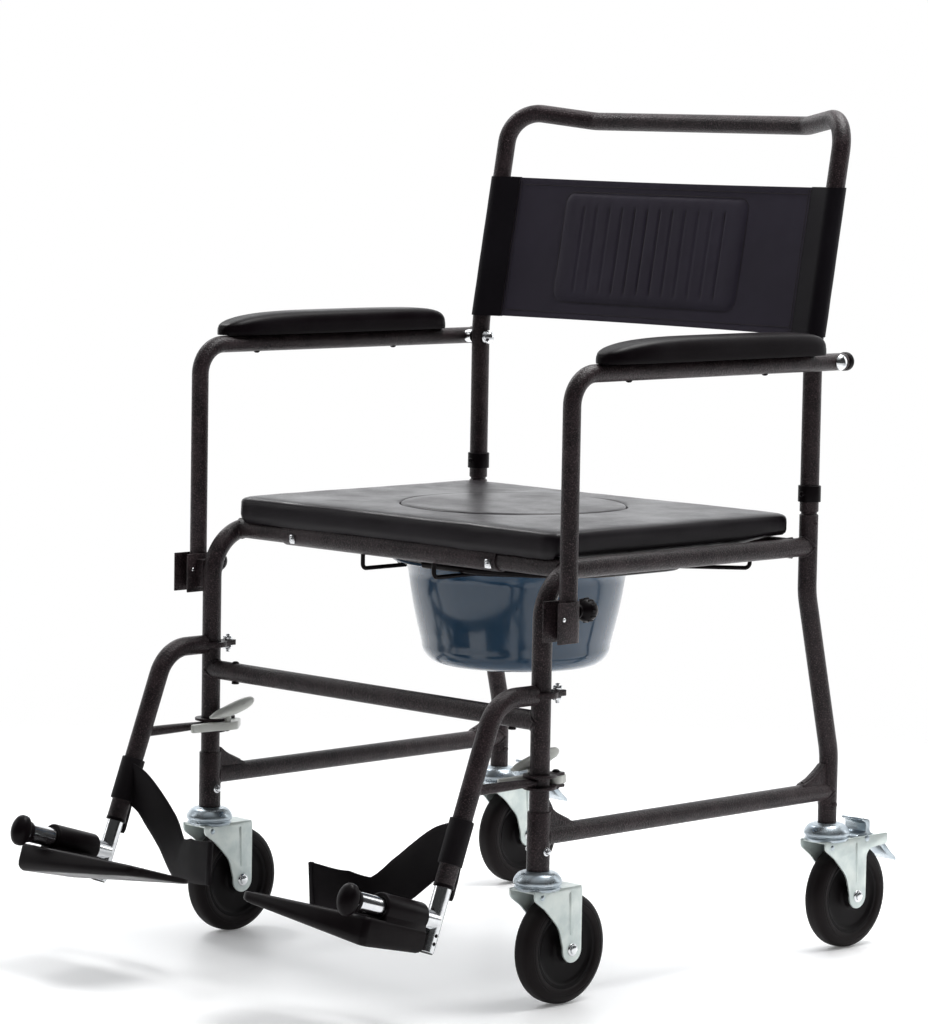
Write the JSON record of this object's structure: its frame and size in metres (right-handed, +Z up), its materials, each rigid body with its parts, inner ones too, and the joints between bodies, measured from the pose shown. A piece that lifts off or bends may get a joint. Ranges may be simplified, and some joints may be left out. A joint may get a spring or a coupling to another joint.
{
  "type": "commode wheelchair",
  "caption": "Tubular commode wheelchair with a padded seat and lid over a round pan, flip-up armrests, swing-away footrests and swivel castors.",
  "frame": {"origin": "on the floor under the middle of the chair's overall box", "axes": "+Z up, the chair faces -Y, and +X is the user's left"},
  "size_m": [0.6628, 0.8941, 0.983],
  "materials": {
    "frame_paint": "dark brown-black hammered enamel",
    "sling_nylon": "matt coated nylon",
    "seat_vinyl": "smooth vinyl with a soft sheen",
    "pad_foam": "fine-grained moulded foam",
    "pan_plastic": "smooth gloss",
    "black_plastic": "satin moulded",
    "latch_plastic": "satin moulded, light grey",
    "chrome": "polished plating",
    "zinc": "satin zinc plating",
    "tyre_rubber": "matt grey-black rubber on a plastic hub",
    "webbing": "flat woven web"
  },
  "bodies": {
    "frame": {"side_tube_left": "frame_paint", "side_tube_right": "frame_paint", "rear_leg_left": "frame_paint", "rear_leg_right": "frame_paint", "lower_side_rail_left": "frame_paint", "lower_side_rail_right": "frame_paint", "front_seat_rail": "frame_paint", "rear_seat_rail": "frame_paint", "front_crossbar": "frame_paint", "backrest_tube": "frame_paint", "backrest_sling": "sling_nylon", "back_collar_left": "black_plastic", "back_collar_right": "black_plastic", "arm_pivot_bolt_left": "chrome", "arm_pivot_bolt_right": "chrome", "arm_socket_left": "frame_paint", "arm_socket_right": "frame_paint", "pan_runner_left": "black_plastic", "pan_runner_right": "black_plastic"},
    "armrest_left": {"armrest_tube_left": "frame_paint", "armrest_pad_left": "pad_foam"},
    "armrest_right": {"armrest_tube_right": "frame_paint", "armrest_pad_right": "pad_foam"},
    "lock_knob_left": {"arm_lock_knob_left": "black_plastic"},
    "lock_knob_right": {"arm_lock_knob_right": "black_plastic"},
    "seat": {"seat_pad": "seat_vinyl"},
    "lid": {"seat_lid": "seat_vinyl"},
    "pan": {"commode_pan": "pan_plastic"},
    "pan_bail": {"pan_handle": "black_plastic"},
    "hanger_left": {"footrest_hanger_left": "frame_paint", "footrest_bolt_left": "chrome", "latch_pin_left": "black_plastic", "heel_strap_left": "webbing"},
    "hanger_right": {"footrest_hanger_right": "frame_paint", "footrest_bolt_right": "chrome", "latch_pin_right": "black_plastic", "heel_strap_right": "webbing"},
    "latch_left": {"footrest_latch_left": "latch_plastic"},
    "latch_right": {"footrest_latch_right": "latch_plastic"},
    "extension_left": {"footrest_extension_left": "chrome", "footrest_end_cap_left": "black_plastic"},
    "extension_right": {"footrest_extension_right": "chrome", "footrest_end_cap_right": "black_plastic"},
    "plate_left": {"footplate_left": "black_plastic"},
    "plate_right": {"footplate_right": "black_plastic"},
    "castor_front_left": {"castor_fork_front_left": "zinc", "castor_axle_front_left": "chrome"},
    "castor_front_right": {"castor_fork_front_right": "zinc", "castor_axle_front_right": "chrome"},
    "castor_rear_left": {"castor_fork_rear_left": "zinc", "castor_axle_rear_left": "chrome"},
    "castor_rear_right": {"castor_fork_rear_right": "zinc", "castor_axle_rear_right": "chrome"},
    "wheel_front_left": {"castor_wheel_front_left": "tyre_rubber"},
    "wheel_front_right": {"castor_wheel_front_right": "tyre_rubber"},
    "wheel_rear_left": {"castor_wheel_rear_left": "tyre_rubber"},
    "wheel_rear_right": {"castor_wheel_rear_right": "tyre_rubber"},
    "pedal_left": {"brake_pedal_left": "zinc"},
    "pedal_right": {"brake_pedal_right": "zinc"}
  },
  "joints": [
    {"name": "armrest_left_flip", "type": "hinge", "parent": "frame", "child": "armrest_left", "pos_m": [0.302, 0.28957, 0.6955], "axis": [-1, 0, 0], "range_deg": [0, 100]},
    {"name": "armrest_right_flip", "type": "hinge", "parent": "frame", "child": "armrest_right", "pos_m": [-0.302, 0.28957, 0.6955], "axis": [-1, 0, 0], "range_deg": [0, 100]},
    {"name": "lock_knob_left_pull", "type": "slide", "parent": "frame", "child": "lock_knob_left", "axis": [0, 1, 0], "range_m": [0, 0.008], "stiffness_N_per_m": 500},
    {"name": "lock_knob_right_pull", "type": "slide", "parent": "frame", "child": "lock_knob_right", "axis": [0, 1, 0], "range_m": [0, 0.008], "stiffness_N_per_m": 500},
    {"name": "seat_lift", "type": "slide", "parent": "frame", "child": "seat", "axis": [0, 0, 1], "range_m": [0, 0.15]},
    {"name": "lid_lift", "type": "slide", "parent": "seat", "child": "lid", "axis": [0, 0, 1], "range_m": [0, 0.1]},
    {"name": "pan_slide", "type": "slide", "parent": "frame", "child": "pan", "axis": [0, 1, 0], "range_m": [0, 0.36]},
    {"name": "pan_handle_lift", "type": "hinge", "parent": "pan", "child": "pan_bail", "pos_m": [0, 0.08507, 0.4583], "axis": [0, -1, 0], "range_deg": [0, 9]},
    {"name": "hanger_left_swing", "type": "hinge", "parent": "frame", "child": "hanger_left", "pos_m": [0.27, -0.15093, 0.3455], "axis": [0, 0, 1], "range_deg": [0, 90]},
    {"name": "hanger_right_swing", "type": "hinge", "parent": "frame", "child": "hanger_right", "pos_m": [-0.27, -0.15093, 0.3455], "axis": [0, 0, -1], "range_deg": [0, 90]},
    {"name": "latch_left_turn", "type": "hinge", "parent": "hanger_left", "child": "latch_left", "pos_m": [0.27, -0.12543, 0.25], "axis": [0, 0, -1], "range_deg": [0, 12]},
    {"name": "latch_right_turn", "type": "hinge", "parent": "hanger_right", "child": "latch_right", "pos_m": [-0.27, -0.12543, 0.25], "axis": [0, 0, 1], "range_deg": [0, 12]},
    {"name": "extension_left_slide", "type": "slide", "parent": "hanger_left", "child": "extension_left", "axis": [0, -0.3584, -0.9336], "range_m": [0, 0.05], "deforming": ["heel_strap_left"]},
    {"name": "extension_right_slide", "type": "slide", "parent": "hanger_right", "child": "extension_right", "axis": [0, -0.3584, -0.9336], "range_m": [0, 0.05], "deforming": ["heel_strap_right"]},
    {"name": "footplate_left_flip", "type": "hinge", "parent": "extension_left", "child": "plate_left", "pos_m": [0.27, -0.30903, 0.116], "axis": [0, 0.9563, -0.2924], "range_deg": [0, 88], "deforming": ["heel_strap_left"]},
    {"name": "footplate_right_flip", "type": "hinge", "parent": "extension_right", "child": "plate_right", "pos_m": [-0.27, -0.30903, 0.116], "axis": [0, -0.9563, 0.2924], "range_deg": [0, 88], "deforming": ["heel_strap_right"]},
    {"name": "castor_front_left_swivel", "type": "hinge", "parent": "frame", "child": "castor_front_left", "pos_m": [0.27, -0.15093, 0.13], "axis": [0, 0, 1], "continuous": true},
    {"name": "castor_front_right_swivel", "type": "hinge", "parent": "frame", "child": "castor_front_right", "pos_m": [-0.27, -0.15093, 0.13], "axis": [0, 0, 1], "continuous": true},
    {"name": "castor_rear_left_swivel", "type": "hinge", "parent": "frame", "child": "castor_rear_left", "pos_m": [0.27, 0.33607, 0.13], "axis": [0, 0, 1], "continuous": true},
    {"name": "castor_rear_right_swivel", "type": "hinge", "parent": "frame", "child": "castor_rear_right", "pos_m": [-0.27, 0.33607, 0.13], "axis": [0, 0, 1], "continuous": true},
    {"name": "wheel_front_left_spin", "type": "hinge", "parent": "castor_front_left", "child": "wheel_front_left", "pos_m": [0.27, -0.11493, 0.0625], "axis": [1, 0, 0], "continuous": true},
    {"name": "wheel_front_right_spin", "type": "hinge", "parent": "castor_front_right", "child": "wheel_front_right", "pos_m": [-0.27, -0.11493, 0.0625], "axis": [1, 0, 0], "continuous": true},
    {"name": "wheel_rear_left_spin", "type": "hinge", "parent": "castor_rear_left", "child": "wheel_rear_left", "pos_m": [0.27, 0.37207, 0.0625], "axis": [1, 0, 0], "continuous": true},
    {"name": "wheel_rear_right_spin", "type": "hinge", "parent": "castor_rear_right", "child": "wheel_rear_right", "pos_m": [-0.27, 0.37207, 0.0625], "axis": [1, 0, 0], "continuous": true},
    {"name": "brake_left_press", "type": "hinge", "parent": "castor_rear_left", "child": "pedal_left", "pos_m": [0.27, 0.38657, 0.1302], "axis": [-1, 0, 0], "range_deg": [0, 6]},
    {"name": "brake_right_press", "type": "hinge", "parent": "castor_rear_right", "child": "pedal_right", "pos_m": [-0.27, 0.38657, 0.1302], "axis": [-1, 0, 0], "range_deg": [0, 6]}
  ]
}
